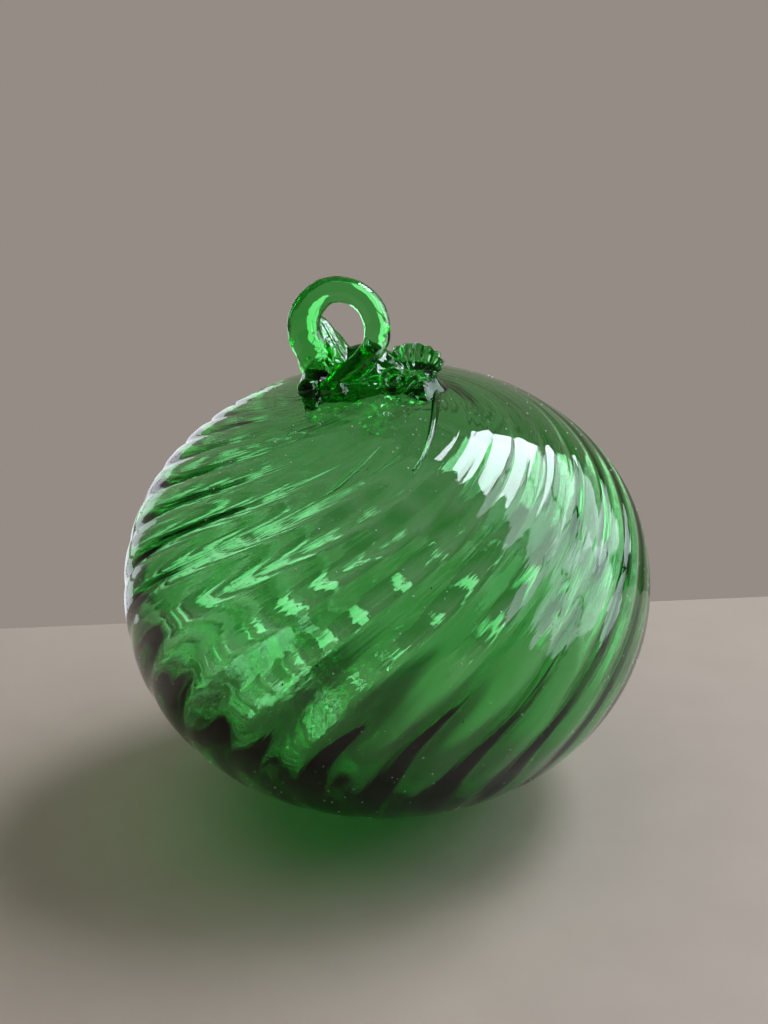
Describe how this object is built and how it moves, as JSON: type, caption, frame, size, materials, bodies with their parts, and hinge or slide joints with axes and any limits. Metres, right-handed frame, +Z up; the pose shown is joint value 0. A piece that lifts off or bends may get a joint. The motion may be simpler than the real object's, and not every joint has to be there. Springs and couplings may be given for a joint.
{
  "type": "glass ball",
  "caption": "Squat hand-blown green glass ball with a swirl of soft ribs and an applied glass hanging loop with a pinched tail.",
  "frame": {"origin": "centre of the small flat on the underside, on the ball's axis", "axes": "+Z up along the ball's axis towards the hanging loop, -Y towards the viewer who looks through the loop, +X to that viewer's right"},
  "size_m": [0.0898, 0.0898, 0.0915],
  "materials": {
    "blown_glass": "fire-polished transparent green blown glass",
    "hot_worked_glass": "fire-polished transparent green glass, thick, drawn and pinched hot"
  },
  "bodies": {
    "root": {"glass_ball": "blown_glass", "hanging_loop": "hot_worked_glass"}
  },
  "joints": []
}
